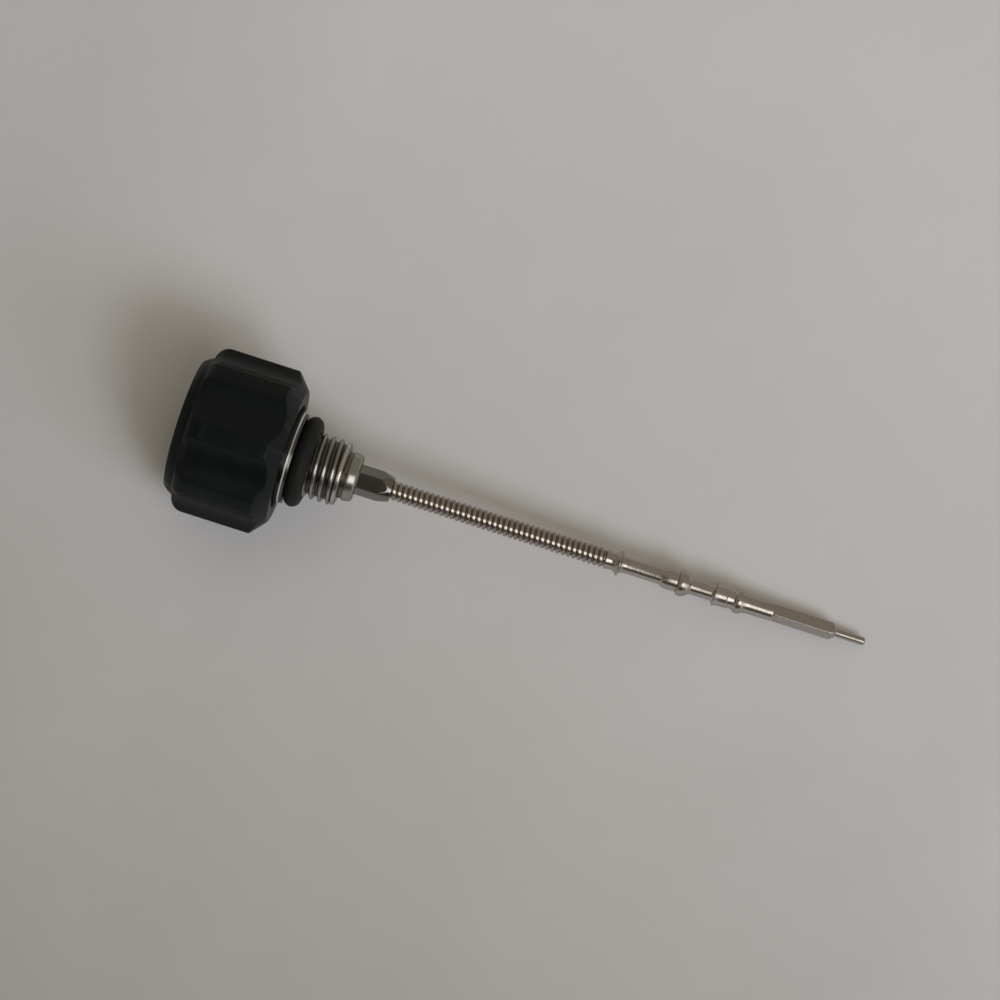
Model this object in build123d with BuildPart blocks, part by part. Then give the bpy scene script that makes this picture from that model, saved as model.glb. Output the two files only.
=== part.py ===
"""Screw-down watch crown with its sprung hexagonal post and winding stem.

Millimetres. X is the stem's axis, from the crown towards the stem's pivot, and Z is up.
The origin is on that axis, in the plane of the crown's inner face, which meets the watch case.
The crown lies with two of its ridges downwards, as it would on a bench.
"""

import math
import os

from build123d import *

# Crown cap: a fluted drum with one bevel towards the case and one round its outer face.
ridge_count = 8
crest_radius = 3.84
crest_half_angle = 6.5
flute_depth = 0.37
lowest_valley_angle = -90
crown_length = 4.87
inner_bevel_height = 0.74
inner_bevel_length = 0.64
ridge_end_radius = 0.58
outer_bevel_height = 0.29
outer_bevel_length = 0.47
face_dome_height = 0.12
crest_edge_radius = 0.08
face_edge = 0.05

# Threaded core: spigot pressed into the cap, flange, seal groove and case thread.
spigot_radius = 1.75
spigot_length = 2.10
flange_radius = 2.25
flange_thickness = 0.80
flange_stand = 0.25
flange_edge = 0.06
recess_gap = 0.15
seal_groove_length = 1.01
case_thread_radius = 1.53
case_thread_length = 1.39
case_thread_edge = 0.06
core_bore_radius = 0.92
groove_wall = 0.28

# Spring chamber: the end of the cap's bore, behind the core.
chamber_length = 0.60

# Seal ring, in the groove between the flange and the case thread.
seal_side_gap = 0.05
seal_floor_gap = 0.01

# Retaining bush: pressed into the core's mouth, with the hexagon that drives the post.
bush_spigot_length = 0.70
bush_neck_step = 0.12
bush_neck_length = 0.23
bush_collar_step = 0.09
bush_collar_length = 0.43
bush_nose_edge = 0.09
bush_back_edge = 0.03

# Hexagonal post: round head in the core's bore, hexagonal shank through the bush.
hex_width = 1.23
hex_flat_angle = 115.5
hex_play = 0.04
post_reach = 1.60
post_nose_length = 0.54
post_tip_inset = 0.045
post_tip_edge = 0.04
head_length = 0.80
head_play = 0.04
head_edge = 0.04
spring_guide_length = 0.45
post_hole_depth = 2.80

# Return spring, between the chamber's floor and the post's head.
wire_radius = 0.10
spring_side_gap = 0.12
spring_end_gap = 0.01
spring_turns = 5.5
wire_sides = 8

# Stem, from the thread to the pivot.
stem_thread_radius = 0.45
stem_thread_reach = 10.09
thread_lead = 0.10
thread_relief_radius = 0.42
thread_relief_length = 0.42
flare_radius = 0.59
flare_length = 0.22
flare_land = 0.05
flare_back_length = 0.08
shank_radius = 0.365
shank_length = 1.93
collar_radius = 0.47
collar_length = 0.64
collar_edge = 0.05
barrel_radius = 0.595
barrel_length = 0.68
lever_groove_radius = 0.36
lever_groove_length = 1.03
lever_disc_radius = 0.56
lever_disc_length = 0.12
waist_radius = 0.46
waist_length = 0.86
stop_radius = 0.55
stop_length = 0.36
stop_flank_length = 0.27
pinion_seat_radius = 0.41
pinion_seat_length = 1.27
square_width = 0.605
square_over_corners = 0.818
square_corner_angle = 125.5
square_length = 2.66
square_end_length = 0.22
pivot_radius = 0.19
pivot_length = 1.47
pivot_dome_length = 0.12

# Sides of the driving forms.
hex_sides = 6
square_sides = 4

# Places along the axis.
outer_face_x = -crown_length
shoulder_x = outer_face_x + outer_bevel_length
core_front_x = flange_stand + seal_groove_length + case_thread_length
core_back_x = flange_stand - flange_thickness - spigot_length
chamber_floor_x = core_back_x - chamber_length
bush_back_x = core_front_x - bush_spigot_length
collar_back_x = core_front_x + bush_neck_length
bush_front_x = collar_back_x + bush_collar_length
head_back_x = bush_back_x - head_length
post_tip_x = bush_front_x + post_reach
stem_back_x = post_tip_x - post_hole_depth

# Radii that follow from the sizes above.
valley_radius = crest_radius - flute_depth
inner_face_radius = crest_radius - inner_bevel_height
shoulder_radius = crest_radius - ridge_end_radius
outer_face_radius = shoulder_radius - outer_bevel_height
groove_floor_radius = core_bore_radius + groove_wall
bush_neck_radius = core_bore_radius + bush_neck_step
bush_collar_radius = bush_neck_radius + bush_collar_step
head_radius = core_bore_radius - head_play
post_tip_radius = hex_width / 2 - post_tip_inset
spring_radius = core_bore_radius - spring_side_gap - wire_radius
spring_guide_radius = spring_radius - wire_radius - spring_side_gap

# The seal ring's section fills its groove between the side gaps.
seal_section_radius = seal_groove_length / 2 - seal_side_gap
seal_centre_radius = groove_floor_radius + seal_floor_gap + seal_section_radius

# The flutes are scallops that meet the crests at their edges.
valley_step = 360 / ridge_count
scallop_half_angle = math.radians(valley_step / 2 - crest_half_angle)
scallop_half_width = crest_radius * math.sin(scallop_half_angle)
scallop_sag = crest_radius * math.cos(scallop_half_angle) - valley_radius
scallop_radius = (scallop_half_width**2 + scallop_sag**2) / (2 * scallop_sag)
outer_bevel_angle = math.atan2(outer_bevel_height, outer_bevel_length)
valley_end_x = shoulder_x + (valley_radius - shoulder_radius) / math.tan(outer_bevel_angle)


def run_out_plane(angle):
    """The plane square to the outer bevel, just inside the end of this valley, facing outwards."""
    radial = Vector(0, math.cos(angle), math.sin(angle))
    along_rim = Vector(0, -math.sin(angle), math.cos(angle))
    slope = Vector(-math.cos(outer_bevel_angle), 0, 0) - radial * math.sin(outer_bevel_angle)
    valley_end = Vector(valley_end_x, 0, 0) + radial * valley_radius
    return Plane(origin=valley_end - slope * ridge_end_radius, x_dir=along_rim, z_dir=slope)


os.makedirs("parts", exist_ok=True)

with BuildPart() as crown_cap:
    with BuildSketch(Plane.XY):
        with BuildLine():
            Line((outer_face_x - face_dome_height, 0), (0, 0))
            Line((0, 0), (0, inner_face_radius))
            Line((0, inner_face_radius), (-inner_bevel_length, crest_radius))
            Line((-inner_bevel_length, crest_radius), (shoulder_x + ridge_end_radius, crest_radius))
            TangentArc(
                (shoulder_x + ridge_end_radius, crest_radius),
                (shoulder_x, shoulder_radius),
                tangent=(-1, 0),
            )
            Line((shoulder_x, shoulder_radius), (outer_face_x, outer_face_radius))
            TangentArc(
                (outer_face_x - face_dome_height, 0),
                (outer_face_x, outer_face_radius),
                tangent=(0, 1),
            )
        make_face()
    revolve(axis=Axis.X)
    face_rim = crown_cap.edges().filter_by_position(
        Axis.X, outer_face_x - face_edge, outer_face_x + face_edge
    )
    chamfer(face_rim, length=face_edge)
    with BuildSketch(Plane.YZ) as fluted_section:
        Circle(crest_radius)
        with PolarLocations(valley_radius + scallop_radius, ridge_count, start_angle=lowest_valley_angle):
            Circle(scallop_radius, mode=Mode.SUBTRACT)
        fillet(fluted_section.vertices(), radius=crest_edge_radius)
    extrude(amount=-crown_length - face_dome_height, mode=Mode.INTERSECT)
    for valley in range(ridge_count):
        valley_angle = math.radians(lowest_valley_angle + valley * valley_step)
        with BuildSketch(run_out_plane(valley_angle)):
            with Locations((0, scallop_radius)):
                Circle(scallop_radius)
        extrude(amount=crown_length, mode=Mode.SUBTRACT)
    with Locations(Plane(origin=(0, 0, 0), z_dir=(1, 0, 0))):
        CounterBoreHole(
            radius=spigot_radius,
            counter_bore_radius=flange_radius + recess_gap,
            counter_bore_depth=flange_thickness - flange_stand,
            depth=-core_back_x,
        )
        Hole(radius=core_bore_radius, depth=-chamber_floor_x)
crown_cap.part.label = "crown_cap"
export_step(crown_cap.part, "parts/crown_cap.step")

with BuildPart() as threaded_core:
    with BuildSketch(Plane.XY):
        with BuildLine():
            Polyline(
                (core_back_x, core_bore_radius),
                (core_back_x, spigot_radius),
                (flange_stand - flange_thickness, spigot_radius),
                (flange_stand - flange_thickness, flange_radius),
                (flange_stand, flange_radius),
                (flange_stand, case_thread_radius),
                (core_front_x, case_thread_radius),
                (core_front_x, core_bore_radius),
                close=True,
            )
        make_face()
    revolve(axis=Axis.X)
    flange_rim = threaded_core.edges().filter_by(GeomType.CIRCLE).sort_by(SortBy.RADIUS)[-2:]
    chamfer(flange_rim, length=flange_edge)
    thread_mouth = threaded_core.faces().sort_by(Axis.X)[-1].outer_wire().edges()
    chamfer(thread_mouth, length=case_thread_edge)
    with BuildSketch(Plane.YZ.offset(flange_stand)):
        Circle(flange_radius)
        Circle(groove_floor_radius, mode=Mode.SUBTRACT)
    extrude(amount=seal_groove_length, mode=Mode.SUBTRACT)
threaded_core.part.label = "threaded_core"
export_step(threaded_core.part, "parts/threaded_core.step")

with BuildPart() as seal_ring:
    with BuildSketch(Plane.XY):
        with Locations((flange_stand + seal_groove_length / 2, seal_centre_radius)):
            Circle(seal_section_radius)
    revolve(axis=Axis.X)
seal_ring.part.label = "seal_ring"
export_step(seal_ring.part, "parts/seal_ring.step")

with BuildPart() as retaining_bush:
    with BuildSketch(Plane.XY):
        with BuildLine():
            Polyline(
                (bush_back_x, 0),
                (bush_back_x, core_bore_radius),
                (core_front_x, core_bore_radius),
                (core_front_x, bush_neck_radius),
                (collar_back_x, bush_neck_radius),
                (collar_back_x, bush_collar_radius),
                (bush_front_x, bush_collar_radius),
                (bush_front_x, 0),
                close=True,
            )
        make_face()
    revolve(axis=Axis.X)
    collar_rims = retaining_bush.edges().filter_by(GeomType.CIRCLE).sort_by(SortBy.RADIUS)[-2:]
    back_rim, nose_rim = collar_rims.sort_by(Axis.X)
    chamfer(back_rim, length=bush_back_edge)
    chamfer(nose_rim, length=bush_nose_edge)
    with BuildSketch(Plane.YZ.offset(bush_back_x)):
        RegularPolygon(
            hex_width / 2 + hex_play,
            side_count=hex_sides,
            major_radius=False,
            rotation=hex_flat_angle + 180 / hex_sides,
        )
    extrude(amount=bush_front_x - bush_back_x, mode=Mode.SUBTRACT)
retaining_bush.part.label = "retaining_bush"
export_step(retaining_bush.part, "parts/retaining_bush.step")

with BuildPart() as hex_post:
    with BuildSketch(Plane.YZ.offset(bush_back_x)):
        RegularPolygon(
            hex_width / 2,
            side_count=hex_sides,
            major_radius=False,
            rotation=hex_flat_angle + 180 / hex_sides,
        )
    extrude(amount=post_tip_x - bush_back_x)
    # The turned nose takes the hexagon's corners off in an arc across each flat.
    with BuildSketch(Plane.XY):
        with BuildLine():
            Line((bush_back_x, 0), (post_tip_x, 0))
            Line((post_tip_x, 0), (post_tip_x, post_tip_radius))
            TangentArc(
                (post_tip_x - post_nose_length, head_radius),
                (post_tip_x, post_tip_radius),
                tangent=(1, 0),
            )
            Line(
                (post_tip_x - post_nose_length, head_radius),
                (bush_back_x, head_radius),
            )
            Line((bush_back_x, head_radius), (bush_back_x, 0))
        make_face()
    revolve(axis=Axis.X, mode=Mode.INTERSECT)
    tip_rim = hex_post.faces().sort_by(Axis.X)[-1].edges()
    fillet(tip_rim, radius=post_tip_edge)
    with BuildSketch(Plane.YZ.offset(head_back_x)):
        Circle(head_radius)
    extrude(amount=head_length)
    head_edges = hex_post.edges().filter_by_position(Axis.X, head_back_x, bush_back_x)
    head_rims = head_edges.filter_by(GeomType.CIRCLE).sort_by(SortBy.RADIUS)[-2:]
    chamfer(head_rims, length=head_edge)
    with BuildSketch(Plane.YZ.offset(head_back_x)):
        Circle(spring_guide_radius)
    extrude(amount=-spring_guide_length)
    with Locations(Plane(origin=(post_tip_x, 0, 0), z_dir=(1, 0, 0))):
        Hole(radius=stem_thread_radius, depth=post_hole_depth)
hex_post.part.label = "hex_post"
export_step(hex_post.part, "parts/hex_post.step")

with BuildPart() as return_spring:
    spring_start_x = chamber_floor_x + wire_radius + spring_end_gap
    spring_end_x = head_back_x - wire_radius - spring_end_gap
    spring_pitch = (spring_end_x - spring_start_x) / spring_turns
    with BuildLine() as coil:
        Helix(
            pitch=spring_pitch,
            height=spring_end_x - spring_start_x,
            radius=spring_radius,
            center=(spring_start_x, 0, 0),
            direction=(1, 0, 0),
        )
    with BuildSketch(Plane(origin=coil.line @ 0, z_dir=coil.line % 0)):
        RegularPolygon(wire_radius, side_count=wire_sides)
    sweep(path=coil.line, is_frenet=True)
return_spring.part.label = "return_spring"
export_step(return_spring.part, "parts/return_spring.step")
print("spring: gap between turns", round(spring_pitch - 2 * wire_radius, 3), "mm")

# Places along the stem, from the thread's end to the pivot's tip.
thread_end_x = post_tip_x + stem_thread_reach
flare_start_x = thread_end_x + thread_relief_length
flare_peak_x = flare_start_x + flare_length
shank_start_x = flare_peak_x + flare_land + flare_back_length
collar_start_x = shank_start_x + shank_length
barrel_start_x = collar_start_x + collar_length
barrel_end_x = barrel_start_x + barrel_length
lever_disc_x = barrel_end_x + lever_groove_length
waist_start_x = lever_disc_x + lever_disc_length
stop_start_x = waist_start_x + waist_length
stop_end_x = stop_start_x + stop_length
seat_start_x = stop_end_x + stop_flank_length
square_start_x = seat_start_x + pinion_seat_length
square_end_x = square_start_x + square_length
pivot_start_x = square_end_x + square_end_length
pivot_tip_x = pivot_start_x + pivot_length

with BuildPart() as stem:
    with BuildSketch(Plane.XY):
        with BuildLine():
            Line((pivot_tip_x, 0), (stem_back_x, 0))
            Polyline(
                (stem_back_x, 0),
                (stem_back_x, stem_thread_radius - thread_lead),
                (stem_back_x + thread_lead, stem_thread_radius),
                (thread_end_x, stem_thread_radius),
                (thread_end_x, thread_relief_radius),
                (flare_start_x, thread_relief_radius),
            )
            TangentArc(
                (flare_start_x, thread_relief_radius),
                (flare_peak_x, flare_radius),
                tangent=(1, 0),
            )
            Polyline(
                (flare_peak_x, flare_radius),
                (flare_peak_x + flare_land, flare_radius),
                (shank_start_x, shank_radius),
                (collar_start_x, shank_radius),
                (collar_start_x, collar_radius - collar_edge),
                (collar_start_x + collar_edge, collar_radius),
                (barrel_start_x, collar_radius),
            )
            ThreePointArc(
                (barrel_start_x, collar_radius),
                (barrel_start_x + barrel_length / 2, barrel_radius),
                (barrel_end_x, collar_radius),
            )
            Polyline(
                (barrel_end_x, collar_radius),
                (barrel_end_x, lever_groove_radius),
                (lever_disc_x, lever_groove_radius),
                (lever_disc_x, lever_disc_radius),
                (waist_start_x, lever_disc_radius),
                (stop_start_x, waist_radius),
            )
            ThreePointArc(
                (stop_start_x, waist_radius),
                (stop_start_x + stop_length / 2, stop_radius),
                (stop_end_x, waist_radius + (stop_radius - waist_radius) / 2),
            )
            Polyline(
                (stop_end_x, waist_radius + (stop_radius - waist_radius) / 2),
                (seat_start_x, pinion_seat_radius),
                (square_end_x, pinion_seat_radius),
                (pivot_start_x, pivot_radius),
                (pivot_tip_x - pivot_dome_length, pivot_radius),
            )
            TangentArc(
                (pivot_tip_x, 0),
                (pivot_tip_x - pivot_dome_length, pivot_radius),
                tangent=(0, 1),
            )
        make_face()
    revolve(axis=Axis.X)
    # The square is milled on the bar of the pinion's seat, and then its corners are broken.
    for width, turn in ((square_width, 0), (square_over_corners, 180 / square_sides)):
        with BuildSketch(Plane.YZ.offset(square_start_x)):
            Circle(2 * pinion_seat_radius)
            RegularPolygon(
                width / 2,
                side_count=square_sides,
                major_radius=False,
                rotation=square_corner_angle + turn,
                mode=Mode.SUBTRACT,
            )
        extrude(amount=square_length + square_end_length, mode=Mode.SUBTRACT)
stem.part.label = "stem"
export_step(stem.part, "parts/stem.step")
print("overall length", round(pivot_tip_x - outer_face_x + face_dome_height, 2), "mm")
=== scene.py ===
"""Looks of a screw-down watch crown and its winding stem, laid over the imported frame.

Shapes are worked out in millimetres and turned into metres when their mesh is made.
X is the stem's axis, from the crown to the pivot. Angles round it run from +Y towards +Z.
"""

import math

import bmesh
import bpy
import numpy as np
from mathutils import Matrix, Vector


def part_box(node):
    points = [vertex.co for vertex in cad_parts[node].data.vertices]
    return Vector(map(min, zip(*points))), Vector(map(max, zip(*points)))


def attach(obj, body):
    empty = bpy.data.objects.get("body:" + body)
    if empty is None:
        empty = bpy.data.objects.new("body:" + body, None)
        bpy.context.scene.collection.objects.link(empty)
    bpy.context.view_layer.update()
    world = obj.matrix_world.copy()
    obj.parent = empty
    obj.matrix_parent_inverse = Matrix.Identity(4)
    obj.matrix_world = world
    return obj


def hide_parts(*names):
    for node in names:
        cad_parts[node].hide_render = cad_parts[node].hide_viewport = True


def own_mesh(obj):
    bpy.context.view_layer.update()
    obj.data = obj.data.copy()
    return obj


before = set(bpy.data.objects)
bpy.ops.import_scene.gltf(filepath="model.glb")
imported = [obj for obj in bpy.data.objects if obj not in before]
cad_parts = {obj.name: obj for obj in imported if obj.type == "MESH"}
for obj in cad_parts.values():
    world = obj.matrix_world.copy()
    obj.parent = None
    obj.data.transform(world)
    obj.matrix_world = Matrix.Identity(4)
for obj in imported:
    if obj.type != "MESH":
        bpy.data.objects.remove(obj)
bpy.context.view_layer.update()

MM = 0.001
TAU = 2 * math.pi


def span(node):
    """The first and last place of a CAD node along the axis, in millimetres."""
    low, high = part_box(node)
    return low.x / MM, high.x / MM


# Places that the frame gives.
cap_outer_x = span("crown_cap")[0]
core_back_x, core_front_x = span("threaded_core")
bush_back_x, bush_front_x = span("retaining_bush")
post_back_x, post_tip_x = span("hex_post")
spring_back_x, spring_front_x = span("return_spring")
stem_back_x, stem_tip_x = span("stem")

# Crown cap.
ridge_count = 8
crest_radius = 3.84
crest_half_angle = 6.5
flute_depth = 0.37
valley_radius = crest_radius - flute_depth
facing_ridge_angle = 112.5
inner_face_radius = 3.10
inner_bevel_length = 0.64
ridge_end_radius = 0.58
face_dome_height = 0.12
outer_bevel_length = 0.47
outer_bevel_height = 0.29
recess_radius = 2.40
recess_floor_x = -0.55
crest_round = 0.05
run_out_round = 0.03
face_round = 0.05
bevel_round = 0.03
ridge_edge_reach = 1.2
flank_end_margin = 0.22
ray_radius = 2.70

# Threads: how far a crest's surface leans, and how much the lean grows from its middle to its edges.
crest_lean = 0.19
crest_curve = 0.16

# Threaded core.
spigot_radius = 1.75
flange_radius = 2.11
flange_rim_radius = 2.18
flange_rim_x = 0.16
flange_chamfer_x = 0.225
flange_back_x = -0.55
flange_stand = 0.345
groove_end_x = 1.06
groove_floor_radius = 1.20
core_bore_radius = 0.92
case_thread_radius = 1.53
case_thread_root = 1.32
case_thread_pitch = 0.39
case_thread_crest_x = 1.718
case_thread_end_x = 2.43

# Seal ring.
seal_centre_x = 0.745
seal_section_radius = 0.440
seal_centre_radius = 1.68
seal_squeeze = 0.93
flash_height = 0.012
flash_width_share = 0.09

# Retaining bush and hexagonal post.
bush_neck_radius = 1.085
collar_back_x = 2.84
bush_collar_radius = 1.13
bush_bevel_radius = 1.085
bush_face_radius = 1.00
bush_mouth_edge_radius = 0.93
bush_mouth_radius = 0.86
hex_width = 1.23
hex_play = 0.04
hex_flat_angle = 115.5
hex_round = 0.06
head_front_x = 1.95
head_back_x = 1.15
head_radius = 0.88
guide_radius = 0.48
nose_start_x = 4.22
nose_start_radius = 0.728
nose_slope = 0.19
nose_curve = 0.055
nose_edge_round = 0.008
nose_tip_drops = [0.008, 0.02]
shank_back_radius = 0.74
post_bore_radius = 0.46
post_bore_end_x = 2.11

# Return spring.
wire_radius = 0.10
spring_radius = 0.70
spring_turns = 5.5
spring_end_ease = 0.055

# Stem.
stem_thread_radius = 0.45
stem_thread_root = 0.32
stem_thread_pitch = 0.25
stem_thread_crest_x = 5.222
thread_end_x = 15.00
thread_in_post = 0.30
thread_shoulder_radius = 0.445
stem_end_chamfer = 0.10
# (x, radius, round) of the stem's corners: flare to 15.76, shank to 17.66, collar to 18.42, disc to 18.96,
# setting-lever groove to 20.02, barrel to 21.09, pinion stop to 21.52 and pinion seat to 22.86.
stem_outline = [
    (15.10, 0.440, 0.03), (15.31, 0.400, 0.04), (15.42, 0.405, 0.05), (15.56, 0.480, 0.06),
    (15.64, 0.585, 0.03), (15.675, 0.592, 0.012), (15.705, 0.570, 0.02), (15.76, 0.425, 0.05),
    (15.95, 0.365, 0.12), (16.30, 0.365, 0), (17.66, 0.365, 0.03), (17.72, 0.435, 0.05),
    (17.92, 0.470, 0.10), (18.40, 0.470, 0.015), (18.42, 0.445, 0.01), (18.45, 0.445, 0.01),
    (18.452, 0.560, 0.012), (18.52, 0.594, 0.03), (18.66, 0.600, 0.04), (18.84, 0.545, 0.06),
    (18.96, 0.450, 0.05), (19.04, 0.370, 0.05), (19.14, 0.366, 0.03), (20.02, 0.356, 0.02),
    (20.10, 0.390, 0.03), (20.14, 0.470, 0.03), (20.165, 0.562, 0.01), (20.20, 0.562, 0.01),
    (20.22, 0.530, 0.01), (20.33, 0.498, 0.04), (20.35, 0.484, 0.008), (20.72, 0.472, 0.02),
    (20.745, 0.484, 0.008), (20.775, 0.466, 0.01), (21.09, 0.430, 0.03), (21.15, 0.520, 0.04),
    (21.25, 0.556, 0.05), (21.41, 0.546, 0.06), (21.52, 0.470, 0.06), (21.74, 0.417, 0.10),
    (22.86, 0.407, 0.02), (22.91, 0.398, 0.02), (22.955, 0.360, 0.01), (22.965, 0.330, 0),
]
square_width = 0.605
square_corner_angle = 125.5
square_corner_round = 0.055
square_edge_round = 0.010
square_start_steps = [22.96, 22.975, 23.0, 24.2]
square_start_radii = [0.34, 0.37, 0.405]
square_start_x = 22.97
square_end_x = 25.55
# Where the square's turned end lies past square_end_x, and its radius there.
end_length = 0.35
end_steps = [0, 0.13, 0.22, 0.32, end_length]
end_radii = [0.42, 0.390, 0.315, 0.215, 0.19]
pivot_radius = 0.19
pivot_dome_length = 0.12


def smooth_least(a, b, reach):
    """The smaller of two values, with the edge between them rounded over reach."""
    near = np.maximum(reach - np.abs(a - b), 0) / reach
    return np.minimum(a, b) - near * near * reach / 4


def rounded(outline, steps=4):
    """An outline of (x, radius, round) corners as points, with each corner rounded by its own setback."""
    corners = [np.array(c[:2], float) for c in outline]
    points = [corners[0]]
    for i in range(1, len(outline) - 1):
        back, here, ahead = corners[i - 1], corners[i], corners[i + 1]
        setback = outline[i][2]
        if not setback:
            points.append(here)
            continue
        to_back, to_ahead = back - here, ahead - here
        reach_back, reach_ahead = np.linalg.norm(to_back), np.linalg.norm(to_ahead)
        start = here + to_back / reach_back * min(setback, 0.45 * reach_back)
        end = here + to_ahead / reach_ahead * min(setback, 0.45 * reach_ahead)
        for t in np.linspace(0, 1, steps + 1):
            points.append((1 - t) ** 2 * start + 2 * t * (1 - t) * here + t**2 * end)
    points.append(corners[-1])
    return np.array(points)


def turned_rows(outline, angles, steps=4):
    """Rows of (x, radius) over all angles for a turned outline."""
    points = rounded(outline, steps)
    x = np.repeat(points[:, :1], len(angles), axis=1)
    r = np.repeat(points[:, 1:], len(angles), axis=1)
    return x, r


def thread_rows(start, end, angles, pitch, crest_at, crest, root, crest_share, flank_share, taper, steps):
    """Rows that follow a right-hand thread, worn a little towards +X, with a crest at crest_at at angle 0."""
    turn = (angles - angles[0]) / TAU
    first_crest = crest_at + pitch * angles[0] / TAU
    back = math.ceil((first_crest - start) / pitch + 0.5)
    first = first_crest - (back + 0.5) * pitch
    count = math.ceil((end - first) / pitch * steps) + 1
    x = first + np.arange(count)[:, None] * (pitch / steps) + pitch * turn[None, :]
    phase = np.mod(np.arange(count)[:, None] / steps, 1.0)
    half_crest = crest_share / 2
    height = np.clip((half_crest + flank_share - np.abs(phase - 0.5)) / flank_share, 0, 1)
    across = np.clip((phase - 0.5) / half_crest, -1, 1)
    drop = half_crest * pitch * (crest_lean * (across + 1) + crest_curve * across**2 / 2)
    height = height * (1 - drop / (crest - root))
    height = np.repeat(height, len(angles), axis=1)
    fade = np.clip(np.minimum(x - start, end - x) / taper, 0, 1)
    x = np.clip(x, start, end)
    return x, root + (crest - root) * height * fade


def skin(name, parts, angles, loop=False):
    """A closed mesh through rows of points round the axis. Rows that end at radius zero close on the axis."""
    x = np.vstack([p[0] for p in parts])
    r = np.vstack([p[1] for p in parts])
    if loop:
        x, r = np.vstack([x, x[:1]]), np.vstack([r, r[:1]])
    rows, columns = x.shape
    cos, sin = np.cos(angles)[None, :], np.sin(angles)[None, :]
    points = np.stack([x, r * cos, r * sin], axis=2).reshape(-1, 3) * MM
    first = np.arange(rows - 1)[:, None] * columns + np.arange(columns - 1)[None, :]
    faces = np.stack([first, first + 1, first + columns + 1, first + columns], axis=2).reshape(-1, 4)
    return solid_mesh(name, points, faces)


def linked(name, data):
    """A new object in the scene's collection."""
    piece = bpy.data.objects.new(name, data)
    bpy.context.scene.collection.objects.link(piece)
    return piece


def solid_mesh(name, points, faces, sharp=38):
    """A welded object with its faces turned outwards, shaded smooth but for edges over sharp degrees."""
    weld = 1e-7
    mesh = bpy.data.meshes.new(name)
    mesh.from_pydata(points.tolist(), [], faces.tolist())
    work = bmesh.new()
    work.from_mesh(mesh)
    bmesh.ops.remove_doubles(work, verts=work.verts, dist=weld)
    bmesh.ops.dissolve_degenerate(work, edges=work.edges, dist=weld)
    bmesh.ops.recalc_face_normals(work, faces=work.faces)
    work.to_mesh(mesh)
    work.free()
    mesh.shade_smooth()
    mesh.set_sharp_from_angle(angle=math.radians(sharp))
    return linked(name, mesh)


def even_angles(count, start=0.0):
    """Angles once round the axis, with the first repeated a full turn on, where the skin closes."""
    return math.radians(start) + np.linspace(0, TAU, count + 1)


def corner_angles(sides, corner_angle, offsets):
    """Angles once round the axis, close together at a polygon's corners. Offsets run from one corner on."""
    half_step = 180 / sides
    side = np.append(offsets, half_step)
    period = np.concatenate([-side[:0:-1], side[:-1]])
    turns = np.arange(sides)[:, None] * 2 * half_step
    degrees = (corner_angle + turns + period[None, :]).ravel()
    return np.radians(np.append(degrees, degrees[0] + 360))


def polygon_radius(angles, width, sides, corner_angle):
    """The radius of a regular polygon at each angle, from its width across flats."""
    sector = TAU / sides
    turn = np.mod(angles - math.radians(corner_angle), sector) - sector / 2
    return width / 2 / np.cos(turn)


def rounded_polygon(angles, width, sides, corner_angle, corner_round):
    """The radius of a regular polygon whose corners are arcs of the radius corner_round."""
    flat = polygon_radius(angles, width, sides, corner_angle)
    sector = TAU / sides
    turn = np.mod(angles - math.radians(corner_angle) + sector / 2, sector) - sector / 2
    centre = (width / 2 - corner_round) / math.cos(sector / 2)
    across = centre * np.sin(turn)
    arc = centre * np.cos(turn) + np.sqrt(np.maximum(corner_round**2 - across**2, 0))
    tangent_turn = sector / 2 - math.atan2(centre * math.sin(sector / 2), width / 2)
    return np.where(np.abs(turn) < tangent_turn, arc, flat)


# Crown cap.


def crown_angles():
    """Angles round the cap, closest at the ridges' edges, and each one's turn from its flute's middle."""
    half_step = 180 / ridge_count
    edge = half_step - crest_half_angle
    side = np.concatenate(
        [
            np.linspace(0, edge - ridge_edge_reach, 14, endpoint=False),
            np.linspace(edge - ridge_edge_reach, edge + ridge_edge_reach, 12, endpoint=False),
            np.linspace(edge + ridge_edge_reach, half_step, 5),
        ]
    )
    period = np.concatenate([-side[:0:-1], side[:-1]])
    first_valley = facing_ridge_angle + half_step
    turns = np.arange(ridge_count)[:, None] * 2 * half_step
    from_valley = np.tile(period, ridge_count)
    degrees = (first_valley + turns + period[None, :]).ravel()
    degrees = np.append(degrees, degrees[0] + 360)
    return np.radians(degrees), np.radians(np.append(from_valley, from_valley[0]))


def flute_section(from_valley):
    """The flutes' radius at each angle, an arc between two ridges' edges, and the arc's own radius."""
    half_angle = math.radians(180 / ridge_count - crest_half_angle)
    half_width = crest_radius * math.sin(half_angle)
    sag = crest_radius * math.cos(half_angle) - valley_radius
    flute_radius = (half_width**2 + sag**2) / (2 * sag)
    centre = valley_radius + flute_radius
    reach = np.sqrt(flute_radius**2 - (centre * np.sin(from_valley)) ** 2)
    return centre * np.cos(from_valley) - reach, flute_radius


def cap_recess(angles):
    """Rows of the bore for the core's spigot, the recess for its flange and the flat inner face."""
    return turned_rows(
        [
            (core_back_x, 0, 0),
            (core_back_x, spigot_radius, 0),
            (recess_floor_x, spigot_radius, 0),
            (recess_floor_x, recess_radius, 0.03),
            (-0.07, recess_radius, 0.01),
            (0, recess_radius + 0.07, 0.02),
            (0, inner_face_radius - 0.06, 0),
        ],
        angles,
    )


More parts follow.
